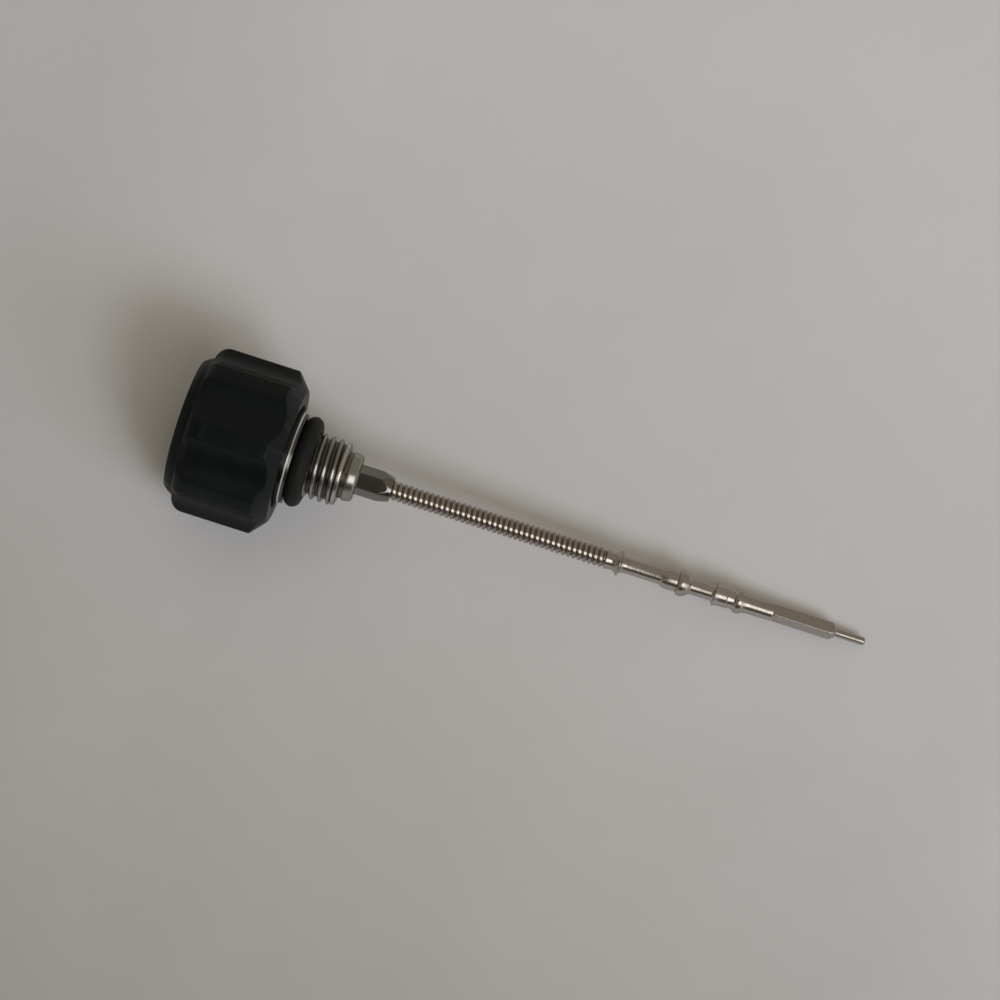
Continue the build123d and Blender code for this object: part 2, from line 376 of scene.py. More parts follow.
def cap_inner_end(section, flank_end_x):
    """Rows from the inner face's rounded edge, over its bevel, to the flanks."""
    bevel_slope = inner_bevel_length / (crest_radius - inner_face_radius)
    bevel_end_x = -(section - inner_face_radius) * bevel_slope
    rows = []
    for share in (0.0, 0.3, 0.6, 1.0):
        x = -face_round * bevel_slope * share**2 * np.ones_like(section)
        r = inner_face_radius - face_round * (1 - share) + face_round * share**2 * 0.9
        rows.append((x, np.full_like(section, r)))
    rows.append((bevel_end_x + bevel_round * bevel_slope, section - bevel_round))
    for share in (0.25, 0.5, 0.75, 1.0):
        back = (1 - share) ** 2 * bevel_round
        ahead = share**2 * bevel_round
        rows.append((bevel_end_x + back * bevel_slope - ahead, section - back))
    for share in np.linspace(0.12, 1, 9):
        start = bevel_end_x - bevel_round
        rows.append((start + (flank_end_x - start) * share, section))
    return np.array([row[0] for row in rows]), np.array([row[1] for row in rows])


def ridge_end_outline(flank_end_x, shoulder_x, shoulder_radius):
    """Points (x, radius) over a ridge's rounded end and the outer bevel to the outer face's rim."""
    outer_face_x = cap_outer_x + face_dome_height
    outer_face_radius = shoulder_radius - outer_bevel_height
    arc = np.radians(np.linspace(0, 90, 24))
    profile = [(flank_end_x + 0.01, crest_radius)]
    profile += [
        (shoulder_x + ridge_end_radius * (1 - math.sin(a)), shoulder_radius + ridge_end_radius * math.cos(a))
        for a in arc[:-1]
    ]
    bend = rounded(
        [
            (profile[-1][0], profile[-1][1], 0),
            (shoulder_x, shoulder_radius, 0.05),
            (outer_face_x, outer_face_radius, 0.06),
            (outer_face_x - 0.004, outer_face_radius - 0.20, 0),
        ],
        6,
    )
    return np.vstack([np.array(profile), bend[1:]])


def cap_outer_end(section, scallop, flute_radius, from_valley, flank_end_x):
    """Rows over the outer end, met by rays from a point inside the cap's rim."""
    shoulder_x = cap_outer_x + face_dome_height + outer_bevel_length
    shoulder_radius = crest_radius - ridge_end_radius
    bevel_angle = math.atan2(outer_bevel_height, outer_bevel_length)
    valley_end_x = shoulder_x + (valley_radius - shoulder_radius) / math.tan(bevel_angle)
    profile = ridge_end_outline(flank_end_x, shoulder_x, shoulder_radius)
    lean = np.arctan2(flank_end_x - profile[:, 0], profile[:, 1] - ray_radius)
    length = np.hypot(flank_end_x - profile[:, 0], profile[:, 1] - ray_radius)
    fine_lean = math.radians(72)
    near_leans = np.linspace(0, fine_lean, 46, endpoint=False)
    leans = np.concatenate([near_leans, np.linspace(fine_lean, lean[-1], 18)])[1:]
    sin, cos = np.sin(leans)[:, None], np.cos(leans)[:, None]
    turned = np.interp(leans, lean, length)[:, None] * np.ones_like(section)[None, :]
    flute = scallop[None, :] - ray_radius
    flute = np.where(cos > 0.02, flute / np.maximum(cos, 0.02), 99.0)

    # Where each ray leaves the flute's run-out, found by halving.
    low, high = np.zeros_like(turned), np.full_like(turned, 3.0)
    normal_x, normal_r = -math.sin(bevel_angle), math.cos(bevel_angle)
    for _ in range(36):
        middle = (low + high) / 2
        r = ray_radius + middle * cos
        x = flank_end_x - middle * sin
        height = (x - valley_end_x) * normal_x
        height = height + (r * np.cos(from_valley) - valley_radius) * normal_r
        across = np.minimum(np.abs(r * np.sin(from_valley)), flute_radius * 0.999)
        beyond = height > flute_radius - np.sqrt(flute_radius**2 - across**2)
        low, high = np.where(beyond, low, middle), np.where(beyond, middle, high)
    run_out = (low + high) / 2

    cut = smooth_least(flute, run_out, run_out_round)
    edge_round = np.linspace(crest_round, run_out_round, len(leans))[:, None]
    near = np.maximum(edge_round - np.abs(turned - cut), 0) / edge_round
    distance = np.minimum(turned, cut) - near * near * edge_round / 4
    return flank_end_x - distance * sin, ray_radius + distance * cos


def cap_dome(rim_x, rim_r, columns):
    """Rows over the outer face's dome, from its rim down to the axis."""
    dome_r = np.linspace(rim_r, 0, 14)[1:]
    dome_x = cap_outer_x + (rim_x - cap_outer_x) * (dome_r / rim_r) ** 2
    ones = np.ones((1, columns))
    return dome_x[:, None] * ones, dome_r[:, None] * ones


def make_crown_cap():
    """The fluted cap, as one skin whose rows follow its bevels, flutes and ridge ends."""
    angles, from_valley = crown_angles()
    scallop, flute_radius = flute_section(from_valley)
    section = smooth_least(np.full_like(scallop, crest_radius), scallop, crest_round)
    flank_end_x = cap_outer_x + face_dome_height + outer_bevel_length + ridge_end_radius + flank_end_margin
    inner = cap_inner_end(section, flank_end_x)
    outer = cap_outer_end(section, scallop, flute_radius, from_valley, flank_end_x)
    dome = cap_dome(outer[0][-1, 0], outer[1][-1, 0], len(angles))
    return skin("crown_cap_fluted", [cap_recess(angles), inner, outer, dome], angles)


def make_threaded_core():
    """Spigot, flange, seal groove and case thread, with the bore through them."""
    angles = even_angles(216)
    bore_join_x = core_front_x - 0.05
    back = turned_rows(
        [
            (bore_join_x, core_bore_radius, 0),
            (core_back_x, core_bore_radius, 0.03),
            (core_back_x, spigot_radius, 0.06),
            (flange_back_x, spigot_radius, 0),
            (flange_back_x, flange_rim_radius, 0.05),
            (flange_rim_x, flange_rim_radius, 0.01),
            (flange_chamfer_x, flange_radius, 0.01),
            (flange_stand, flange_radius - 0.02, 0.03),
            (flange_stand, groove_floor_radius, 0.04),
            (groove_end_x, groove_floor_radius, 0.04),
            (groove_end_x, case_thread_root, 0),
        ],
        angles,
    )
    thread = thread_rows(
        groove_end_x,
        case_thread_end_x,
        angles,
        case_thread_pitch,
        case_thread_crest_x,
        case_thread_radius,
        case_thread_root,
        crest_share=0.20,
        flank_share=0.31,
        taper=0.06,
        steps=22,
    )
    front = turned_rows(
        [
            (case_thread_end_x, case_thread_root, 0),
            (case_thread_end_x + 0.01, case_thread_radius - 0.06, 0.01),
            (core_front_x - 0.06, case_thread_radius - 0.07, 0.03),
            (core_front_x, case_thread_radius - 0.24, 0.02),
            (core_front_x, core_bore_radius, 0.01),
            (bore_join_x, core_bore_radius, 0),
        ],
        angles,
    )
    return skin("core_turned", [back, thread, front], angles)


def make_seal_ring():
    """The rubber ring, with the faint flash line of its mould."""
    angles = even_angles(160)
    section = np.linspace(0, TAU, 65)
    flash = flash_height * np.exp(-((np.sin(section) / flash_width_share) ** 2))
    radius = seal_section_radius - flash_height + flash
    x = seal_centre_x + radius * np.sin(section) * seal_squeeze
    r = seal_centre_radius + radius * np.cos(section)
    ones = np.ones_like(angles)[None, :]
    return skin("seal_ring_moulded", [(x[:, None] * ones, r[:, None] * ones)], angles)


def make_bush():
    """Spigot, neck and collar, with the hexagonal hole."""
    corner_angle = hex_flat_angle + 30
    angles = even_angles(180, corner_angle)
    hole = polygon_radius(angles, hex_width + 2 * hex_play, 6, corner_angle)
    body = turned_rows(
        [
            (bush_back_x, core_bore_radius - 0.02, 0),
            (bush_back_x + 0.02, core_bore_radius, 0),
            (core_front_x, core_bore_radius, 0),
            (core_front_x, bush_neck_radius, 0.02),
            (collar_back_x, bush_neck_radius, 0.02),
            (collar_back_x + 0.02, bush_collar_radius + 0.01, 0.02),
            (collar_back_x + 0.10, bush_collar_radius + 0.01, 0.05),
            (bush_front_x - 0.08, bush_bevel_radius, 0.03),
            (bush_front_x - 0.02, bush_face_radius, 0.03),
            (bush_front_x, bush_mouth_edge_radius, 0.03),
            (bush_front_x, bush_mouth_radius, 0),
        ],
        angles,
    )
    mouth_x = np.array([bush_front_x, bush_front_x - 0.03, bush_back_x + 0.02, bush_back_x])
    mouth_out = np.array([0.03, 0.0, 0.0, 0.02])
    ones = np.ones_like(angles)[None, :]
    mouth = mouth_x[:, None] * ones, hole[None, :] + mouth_out[:, None]
    return skin("bush_turned", [body, mouth], angles, loop=True)


def make_post():
    """Round head, hexagonal shank and turned nose, with the threaded hole that holds the stem."""
    corner_angle = hex_flat_angle + 30
    offsets = [0, 0.8, 1.6, 2.5, 3.5, 5, 8, 12, 16, 20, 25]
    angles = corner_angles(6, corner_angle, offsets)
    hexagon = rounded_polygon(angles, hex_width, 6, corner_angle, hex_round)
    head = turned_rows(
        [
            (post_back_x, 0, 0),
            (post_back_x, guide_radius, 0.05),
            (head_back_x, guide_radius, 0.03),
            (head_back_x, head_radius, 0.05),
            (head_front_x, head_radius, 0.05),
            (head_front_x, shank_back_radius, 0),
        ],
        angles,
    )
    ones = np.ones_like(angles)
    shank_x = np.concatenate(
        [
            np.linspace(head_front_x, nose_start_x, 6, endpoint=False),
            np.linspace(nose_start_x, post_tip_x - 0.02, 40),
            [post_tip_x - 0.01, post_tip_x - 0.003, post_tip_x],
        ]
    )
    past = np.maximum(shank_x - nose_start_x, 0)
    nose = nose_start_radius - nose_slope * past - nose_curve * past**2
    nose[-2:] -= nose_tip_drops
    r = smooth_least(hexagon[None, :], nose[:, None] * ones[None, :], nose_edge_round)
    shank = shank_x[:, None] * ones[None, :], r
    tip_r = float(r[-1].min())
    hole = turned_rows(
        [
            (post_tip_x, tip_r, 0),
            (post_tip_x, post_bore_radius + 0.03, 0.01),
            (post_tip_x - 0.04, post_bore_radius, 0.01),
            (post_bore_end_x - 0.02, post_bore_radius, 0),
            (post_bore_end_x - 0.02, 0, 0),
        ],
        angles,
    )
    return skin("post_milled", [head, shank, hole], angles)


def spring_path():
    """The middle of the spring's wire, its pitch easing towards each end, and the turn at each place."""
    turn_steps = 40
    share = np.linspace(0, 1, int(spring_turns * turn_steps) + 1)
    start_x = spring_back_x + wire_radius
    end_x = spring_front_x - wire_radius
    turn = share * spring_turns * TAU
    ease = share - spring_end_ease * np.sin(share * TAU)
    x = start_x + (end_x - start_x) * ease
    return np.stack([x, spring_radius * np.cos(turn), spring_radius * np.sin(turn)], axis=1), turn


def wire_points(centre, turn, section_count):
    """Rings of points round the wire's middle, one for each place along it."""
    along = np.gradient(centre, axis=0)
    along /= np.linalg.norm(along, axis=1)[:, None]
    outward = np.stack([np.zeros(len(turn)), np.cos(turn), np.sin(turn)], axis=1)
    side = np.cross(along, outward)
    round_angles = np.linspace(0, TAU, section_count, endpoint=False)
    rings = (
        centre[:, None, :]
        + wire_radius * np.cos(round_angles)[None, :, None] * outward[:, None, :]
        + wire_radius * np.sin(round_angles)[None, :, None] * side[:, None, :]
    )
    return rings.reshape(-1, 3)


def wire_faces(count, section_count):
    """Faces between rings and over both ends, whose middle points come last."""
    faces = []
    for i in range(count - 1):
        for j in range(section_count):
            a = i * section_count + j
            b = i * section_count + (j + 1) % section_count
            faces.append([a, b, b + section_count, a + section_count])
    last = (count - 1) * section_count
    start_middle = count * section_count
    for j in range(section_count):
        ahead = (j + 1) % section_count
        faces.append([start_middle, ahead, j])
        faces.append([start_middle + 1, last + j, last + ahead])
    return faces


def make_spring():
    """The return spring, wound to the right."""
    section_count = 12
    centre, turn = spring_path()
    points = np.vstack([wire_points(centre, turn, section_count), centre[:1], centre[-1:]])
    mesh = bpy.data.meshes.new("return_coil")
    mesh.from_pydata((points * MM).tolist(), [], wire_faces(len(centre), section_count))
    work = bmesh.new()
    work.from_mesh(mesh)
    bmesh.ops.recalc_face_normals(work, faces=work.faces)
    work.to_mesh(mesh)
    work.free()
    mesh.shade_smooth()
    return linked("return_coil", mesh)


def square_rows(angles):
    """Rows over the square and its two turned ends."""
    ones = np.ones_like(angles)[None, :]
    square = rounded_polygon(angles, square_width, 4, square_corner_angle, square_corner_round)
    end_turn = np.linspace(0, math.pi / 2, 16)
    x = np.concatenate([square_start_steps, square_end_x + end_length * np.sin(end_turn)])
    end_radius = np.interp(x - square_end_x, end_steps, end_radii)
    end_radius[:3] = square_start_radii
    r = smooth_least(square[None, :], end_radius[:, None] * ones, square_edge_round)
    r[-1] = pivot_radius
    return x[:, None] * ones, r


def dome_rows(angles):
    """Rows over the pivot and its domed tip."""
    ones = np.ones_like(angles)[None, :]
    turn = np.linspace(0, math.pi / 2, 9)
    straight_x = stem_tip_x - 0.30
    x = np.append(straight_x, stem_tip_x - pivot_dome_length + pivot_dome_length * np.sin(turn))
    r = np.append(pivot_radius, pivot_radius * np.cos(turn))
    r[-1] = 0
    return x[:, None] * ones, r[:, None] * ones


def make_stem():
    """The winding stem: thread, flare, collars, lever groove, waist, stop, pinion seat, square and pivot."""
    offsets = [0, 1.3, 2.6, 4, 5.5, 7.5, 10.5, 15, 20.5, 26.5, 32.5, 38.5]
    angles = corner_angles(4, square_corner_angle, offsets)
    hidden_end_x = post_tip_x - thread_in_post
    back = turned_rows(
        [
            (stem_back_x, 0, 0),
            (stem_back_x, stem_thread_radius - stem_end_chamfer, 0.01),
            (stem_back_x + stem_end_chamfer, stem_thread_radius, 0.01),
            (hidden_end_x, stem_thread_radius, 0),
            (hidden_end_x, stem_thread_root, 0),
        ],
        angles,
    )
    thread = thread_rows(
        hidden_end_x,
        thread_end_x,
        angles,
        stem_thread_pitch,
        stem_thread_crest_x,
        stem_thread_radius,
        stem_thread_root,
        crest_share=0.53,
        flank_share=0.21,
        taper=0.10,
        steps=20,
    )
    front = turned_rows(
        [
            (thread_end_x, stem_thread_root, 0),
            (thread_end_x + 0.02, thread_shoulder_radius, 0.01),
            *stem_outline,
        ],
        angles,
    )
    rows = [back, thread, front, square_rows(angles), dome_rows(angles)]
    return skin("stem_turned", rows, angles)


# Materials.


def new_material(name):
    """A node material with its shader, and the two ends of its tree."""
    material = bpy.data.materials.new(name)
    material.use_nodes = True
    nodes, links = material.node_tree.nodes, material.node_tree.links
    shader = nodes["Principled BSDF"]
    return material, nodes, links, shader


def turned_coordinates(nodes, links):
    """A vector of place along the axis and distance from it, in millimetres, that turned marks follow."""
    place = nodes.new("ShaderNodeTexCoord")
    split = nodes.new("ShaderNodeSeparateXYZ")
    links.new(place.outputs["Object"], split.inputs[0])
    flat = nodes.new("ShaderNodeCombineXYZ")
    links.new(split.outputs["Y"], flat.inputs["Y"])
    links.new(split.outputs["Z"], flat.inputs["Z"])
    distance = nodes.new("ShaderNodeVectorMath")
    distance.operation = "LENGTH"
    links.new(flat.outputs[0], distance.inputs[0])
    joined = nodes.new("ShaderNodeCombineXYZ")
    links.new(split.outputs["X"], joined.inputs["X"])
    links.new(distance.outputs["Value"], joined.inputs["Y"])
    return place, joined


def noise(nodes, links, vector, scale, detail=2.0, roughness=0.5):
    """A noise texture on a vector, in turns per metre."""
    texture = nodes.new("ShaderNodeTexNoise")
    texture.inputs["Scale"].default_value = scale
    texture.inputs["Detail"].default_value = detail
    texture.inputs["Roughness"].default_value = roughness
    links.new(vector, texture.inputs["Vector"])
    return texture.outputs["Fac"]


def ramp(nodes, links, value, stops):
    """Colours over a value, from (place, colour) stops."""
    node = nodes.new("ShaderNodeValToRGB")
    links.new(value, node.inputs["Fac"])
    elements = node.color_ramp.elements
    while len(elements) < len(stops):
        elements.new(0.5)
    for element, (place, colour) in zip(elements, stops):
        element.position = place
        element.color = (*colour, 1)
    return node.outputs["Color"]


def ranged(nodes, links, value, low, high, to_low, to_high):
    """A value carried from one range to another."""
    node = nodes.new("ShaderNodeMapRange")
    node.inputs["From Min"].default_value = low
    node.inputs["From Max"].default_value = high
    node.inputs["To Min"].default_value = to_low
    node.inputs["To Max"].default_value = to_high
    links.new(value, node.inputs["Value"])
    return node.outputs["Result"]


def bump(nodes, links, height, depth, strength, below=None):
    """A normal from a height, optionally over another normal."""
    node = nodes.new("ShaderNodeBump")
    node.inputs["Strength"].default_value = strength
    node.inputs["Distance"].default_value = depth
    links.new(height, node.inputs["Height"])
    if below is not None:
        links.new(below, node.inputs["Normal"])
    return node.outputs["Normal"]


def arithmetic(nodes, links, operation, a, b):
    """A sum, product or the like of two values, each a socket or a number."""
    node = nodes.new("ShaderNodeMath")
    node.operation = operation
    for value, socket in zip((a, b), node.inputs):
        if isinstance(value, (int, float)):
            socket.default_value = value
        else:
            links.new(value, socket)
    return node.outputs[0]


def within(nodes, links, value, low, high, soft):
    """One where a value lies between two limits, falling to zero over soft beyond each."""
    above = ranged(nodes, links, value, low - soft, low, 0.0, 1.0)
    below = ranged(nodes, links, value, high, high + soft, 1.0, 0.0)
    return arithmetic(nodes, links, "MULTIPLY", above, below)


def with_painted_zones(nodes, links, colour, turned, zones):
    """A colour with the zones' colours of painted shade and painted highlight laid over it, at their places
    along the axis and distances from it.
    """
    split = nodes.new("ShaderNodeSeparateXYZ")
    links.new(turned.outputs[0], split.inputs[0])
    for first_x, last_x, least, greatest, soft, other in zones:
        along = within(nodes, links, split.outputs["X"], first_x * MM, last_x * MM, soft * MM)
        across = within(nodes, links, split.outputs["Y"], least * MM, greatest * MM, soft * MM)
        mix = nodes.new("ShaderNodeMix")
        mix.data_type = "RGBA"
        links.new(arithmetic(nodes, links, "MULTIPLY", along, across), mix.inputs["Factor"])
        links.new(colour, mix.inputs["A"])
        mix.inputs["B"].default_value = (*other, 1)
        colour = mix.outputs["Result"]
    return colour


# The tint of steel where it is seen at a glancing angle.
steel_edge_tint = (0.60, 0.58, 0.56, 1)


def turned_steel(name, light, dark, roughness, anisotropy, ring_depth, wave_depth, zones=()):
    """Turned steel with fine rings and slow waves, faint stains, zones of painted shade or highlight and a
    gloss that spreads along X.
    """
    material, nodes, links, shader = new_material(name)
    place, turned = turned_coordinates(nodes, links)
    rings = noise(nodes, links, turned.outputs[0], 24000, 2, 0.6)
    waves = noise(nodes, links, turned.outputs[0], 2600, 2, 0.5)
    stains = noise(nodes, links, place.outputs["Object"], 900, 4, 0.6)
    colour = ramp(nodes, links, stains, [(0.30, dark), (0.62, light)])
    links.new(with_painted_zones(nodes, links, colour, turned, zones), shader.inputs["Base Color"])
    gloss = ranged(nodes, links, rings, 0.3, 0.7, roughness * 0.88, roughness * 1.14)
    links.new(gloss, shader.inputs["Roughness"])
    slow = bump(nodes, links, waves, wave_depth, 1.0)
    links.new(bump(nodes, links, rings, ring_depth, 1.0, slow), shader.inputs["Normal"])
    shader.inputs["Metallic"].default_value = 1.0
    shader.inputs["Specular Tint"].default_value = steel_edge_tint
    shader.inputs["Anisotropic"].default_value = anisotropy
    shader.inputs["Anisotropic Rotation"].default_value = 0.25
    around = nodes.new("ShaderNodeTangent")
    around.direction_type = "RADIAL"
    around.axis = "X"
    links.new(around.outputs["Tangent"], shader.inputs["Tangent"])
    return material


def milled_steel(name, light, dark, roughness):
    """Milled steel: fine lines along the axis and a mottled surface."""
    material, nodes, links, shader = new_material(name)
    place = nodes.new("ShaderNodeTexCoord")
    stretch = nodes.new("ShaderNodeMapping")
    stretch.inputs["Scale"].default_value = (0.06, 1.0, 1.0)
    links.new(place.outputs["Object"], stretch.inputs["Vector"])
    lines = noise(nodes, links, stretch.outputs["Vector"], 16000, 2, 0.6)
    stains = noise(nodes, links, place.outputs["Object"], 1300, 4, 0.6)
    links.new(ramp(nodes, links, stains, [(0.30, dark), (0.65, light)]), shader.inputs["Base Color"])
    gloss = ranged(nodes, links, lines, 0.3, 0.7, roughness * 0.8, roughness * 1.2)
    links.new(gloss, shader.inputs["Roughness"])
    links.new(bump(nodes, links, lines, 1e-6, 0.3), shader.inputs["Normal"])
    shader.inputs["Metallic"].default_value = 1.0
    return material


def black_finish(name):
    """Black anodised metal: a satin black with fine grain, faint patches and slightly paler worn edges."""
    material, nodes, links, shader = new_material(name)
    place = nodes.new("ShaderNodeTexCoord")
    grain = noise(nodes, links, place.outputs["Object"], 22000, 3, 0.6)
    patches = noise(nodes, links, place.outputs["Object"], 520, 3, 0.6)
    base = ramp(nodes, links, patches, [(0.35, (0.0050, 0.0062, 0.0064)), (0.7, (0.0064, 0.0078, 0.0080))])
    edges = nodes.new("ShaderNodeNewGeometry")
    worn = ranged(nodes, links, edges.outputs["Pointiness"], 0.52, 0.60, 0.0, 1.0)
    mix = nodes.new("ShaderNodeMix")
    mix.data_type = "RGBA"
    links.new(worn, mix.inputs["Factor"])
    links.new(base, mix.inputs["A"])
    mix.inputs["B"].default_value = (0.012, 0.013, 0.013, 1)
    links.new(mix.outputs["Result"], shader.inputs["Base Color"])
    links.new(ranged(nodes, links, patches, 0.3, 0.7, 0.26, 0.33), shader.inputs["Roughness"])
    links.new(bump(nodes, links, grain, 3e-6, 0.25), shader.inputs["Normal"])
    facing = nodes.new("ShaderNodeLayerWeight")
    level = ranged(nodes, links, facing.outputs["Facing"], 0.30, 0.74, 0.22, 0.03)
    links.new(level, shader.inputs["Specular IOR Level"])
    shader.inputs["Specular Tint"].default_value = (0.78, 0.92, 1.0, 1)
    return material


def rubber_finish(name):
    """Dark moulded rubber with a matte skin and a little bloom."""
    material, nodes, links, shader = new_material(name)
    place = nodes.new("ShaderNodeTexCoord")
    bloom = noise(nodes, links, place.outputs["Object"], 1500, 4, 0.65)
    grain = noise(nodes, links, place.outputs["Object"], 26000, 2, 0.5)
    base = ramp(nodes, links, bloom, [(0.3, (0.012, 0.0125, 0.0112)), (0.75, (0.021, 0.0215, 0.0195))])
    links.new(base, shader.inputs["Base Color"])
    links.new(ranged(nodes, links, bloom, 0.3, 0.7, 0.52, 0.66), shader.inputs["Roughness"])
    links.new(bump(nodes, links, grain, 4e-6, 0.3), shader.inputs["Normal"])
    shader.inputs["Specular IOR Level"].default_value = 0.12
    return material


def finish_piece(piece, material, body, node):
    """Gives a piece its material in a slot and its body, and hides the CAD node that it stands for."""
    piece.data.materials.append(material)
    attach(piece, body)
    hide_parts(node)
    return piece


black_cap = black_finish("black_cap")
# Zones of painted shade and painted highlight laid over a steel's colour: (first x, last x, least radius,
# greatest radius, soft, colour).
core_shade_and_highlight_zones = [
    # Painted shade in the case thread's valleys.
    (groove_end_x, case_thread_end_x, 0, case_thread_root + 0.015, 0.03, (0.145, 0.137, 0.122)),
    # Painted highlight: paler steel on the plain band in front of the case thread.
    (case_thread_end_x - 0.06, core_front_x - 0.08, case_thread_root + 0.06, 9, 0.02, (0.64, 0.635, 0.62)),
    # Painted shade: a dark flange rim inside the cap's recess.
    (-1, flange_rim_x - 0.01, flange_radius + 0.01, flange_rim_radius + 1, 0.01, (0.08, 0.08, 0.08)),
    # Painted highlight: a pale, bright line on the flange's chamfer.
    (flange_rim_x, flange_stand, flange_radius + 0.02, flange_rim_radius + 1, 0.01, (0.80, 0.82, 0.82)),
    # Painted dark reflection on the flange's cylinder next to the seal ring.
    (flange_chamfer_x, flange_stand, flange_radius - 0.15, flange_radius, 0.01, (0.13, 0.135, 0.13)),
]
core_steel = turned_steel(
    "core_steel",
    light=(0.46, 0.455, 0.445),
    dark=(0.37, 0.365, 0.355),
    roughness=0.25,
    anisotropy=0.45,
    ring_depth=0.9e-6,
    wave_depth=5e-6,
    zones=core_shade_and_highlight_zones,
)
seal_rubber = rubber_finish("seal_rubber")
# Painted shade on the bush's neck, between the core's front and the collar.
bush_painted_shade_zones = [(core_front_x, collar_back_x, 0, bush_neck_radius + 0.02, 0.02, (0.24, 0.22, 0.18))]
bush_steel = turned_steel(
    "bush_steel",
    light=(0.44, 0.44, 0.42),
    dark=(0.36, 0.36, 0.34),
    roughness=0.27,
    anisotropy=0.45,
    ring_depth=0.7e-6,
    wave_depth=4e-6,
    zones=bush_painted_shade_zones,
)
post_steel = milled_steel(
    "post_steel",
    light=(0.275, 0.275, 0.257),
    dark=(0.215, 0.215, 0.198),
    roughness=0.16,
)
spring_steel = turned_steel(
    "spring_steel",
    light=(0.50, 0.49, 0.47),
    dark=(0.40, 0.39, 0.37),
    roughness=0.30,
    anisotropy=0.3,
    ring_depth=1e-6,
    wave_depth=3e-6,
)
stem_painted_shade_zones = [
    # Painted shade: darker steel over the whole thread, which dims its highlights and edges.
    (0, thread_end_x, 0, stem_thread_radius + 1, 0.02, (0.47, 0.435, 0.41)),
    # Painted shade in the thread's valleys: a browner steel, a little lighter than the painted shade on the
    # crests.
    (0, thread_end_x, 0, stem_thread_root + 0.05, 0.06, (0.54, 0.485, 0.43)),
    # Painted shade: darker steel on the square and pivot, which dims their reflections.
    (square_start_x, stem_tip_x, 0, stem_thread_radius, 0.02, (0.505, 0.468, 0.442)),
]
stem_steel = turned_steel(
    "stem_steel",
    light=(0.58, 0.54, 0.512),
    dark=(0.48, 0.445, 0.42),
    roughness=0.25,
    anisotropy=0.45,
    ring_depth=0.9e-6,
    wave_depth=9e-6,
    zones=stem_painted_shade_zones,
)

finish_piece(make_crown_cap(), black_cap, "crown", "crown_cap")
finish_piece(make_threaded_core(), core_steel, "crown", "threaded_core")
finish_piece(make_seal_ring(), seal_rubber, "crown", "seal_ring")
finish_piece(make_bush(), bush_steel, "crown", "retaining_bush")
finish_piece(make_post(), post_steel, "stem_assembly", "hex_post")
finish_piece(make_stem(), stem_steel, "stem_assembly", "stem")
return_coil = finish_piece(make_spring(), spring_steel, "crown", "return_spring")
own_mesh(return_coil)

# The photograph's camera. The axis runs down to the right by image_turn, seen from view_elevation above +Y.
view_elevation = 67.5
image_turn = 17.811
aim_x, aim_side = 9.68, 1.06
camera_distance = 117.1
lens_mm, sensor_mm = 93.6, 36.0

toward_camera = Vector((0, -math.cos(math.radians(view_elevation)), math.sin(math.radians(view_elevation))))
axis_right = Vector((1, 0, 0))
across_down = Vector((0, -math.sin(math.radians(view_elevation)), -math.cos(math.radians(view_elevation))))


def make_camera():
    """The camera at the photograph's place, turned so that the stem runs down to the right."""
    turn = math.radians(image_turn)
    right = axis_right * math.cos(turn) - across_down * math.sin(turn)
    down = axis_right * math.sin(turn) + across_down * math.cos(turn)
    aim = axis_right * aim_x - across_down * aim_side
    place = (aim + toward_camera * camera_distance) * MM
    data = bpy.data.cameras.new("camera")
    data.lens = lens_mm
    data.sensor_width = sensor_mm
    data.clip_start = 0.002
    data.clip_end = 10
    camera = linked("camera", data)
    turned = Matrix((right, -down, toward_camera)).transposed().to_4x4()
    camera.matrix_world = Matrix.Translation(place) @ turned
    bpy.context.scene.camera = camera


make_camera()

# Floor: a sheet of pale paper under the crown's two lowest ridges and the pivot's tip.
crown_rest_x, crown_rest_z = -0.64, -3.695
tip_rest_x, tip_rest_z = 27.2, -0.195
floor_half = 1500.0
floor_ease = 1.2
floor_low_z = crown_rest_z - 1.1
floor_high_z = -0.02
fall_slope, fall_start_x, fall_length = 0.05, 34, 40


def floor_height(x):
    """The paper's height: a slope between the two places of rest, easing out beyond them."""
    slope = (tip_rest_z - crown_rest_z) / (tip_rest_x - crown_rest_x)
    line = crown_rest_z + (x - crown_rest_x) * slope
    high_level = floor_high_z - fall_slope * np.clip(x - fall_start_x, 0, fall_length)
    line = np.where(x > 0, smooth_least(line, high_level, floor_ease), line)
    return np.where(x > 0, line, -smooth_least(-line, np.full_like(x, -floor_low_z), floor_ease))


def make_floor():
    """A wide sheet, finely divided along X where it slopes."""
    x = np.concatenate([[-floor_half, -200, -60], np.linspace(-40, 90, 131), [150, 300, floor_half]])
    y = np.array([-floor_half, -200, -40, 0, 40, 200, floor_half])
    z = floor_height(x)
    points = np.array([[a * MM, b * MM, c * MM] for a, c in zip(x, z) for b in y])
    faces = [
        [i * len(y) + j, (i + 1) * len(y) + j, (i + 1) * len(y) + j + 1, i * len(y) + j + 1]
        for i in range(len(x) - 1)
        for j in range(len(y) - 1)
    ]
    mesh = bpy.data.meshes.new("paper_floor")
    mesh.from_pydata(points.tolist(), [], faces)
    mesh.shade_smooth()
    floor = linked("paper_floor", mesh)
    return floor


# Painted shade on the paper: darker and yellower towards one corner, where the light falls off.
painted_falloff_direction = (0.16, 0.987, 0)
painted_falloff_tones = [(0.0, (0.462, 0.462, 0.415)), (0.52, (0.772, 0.772, 0.752)), (1.0, (0.927, 0.927, 0.928))]


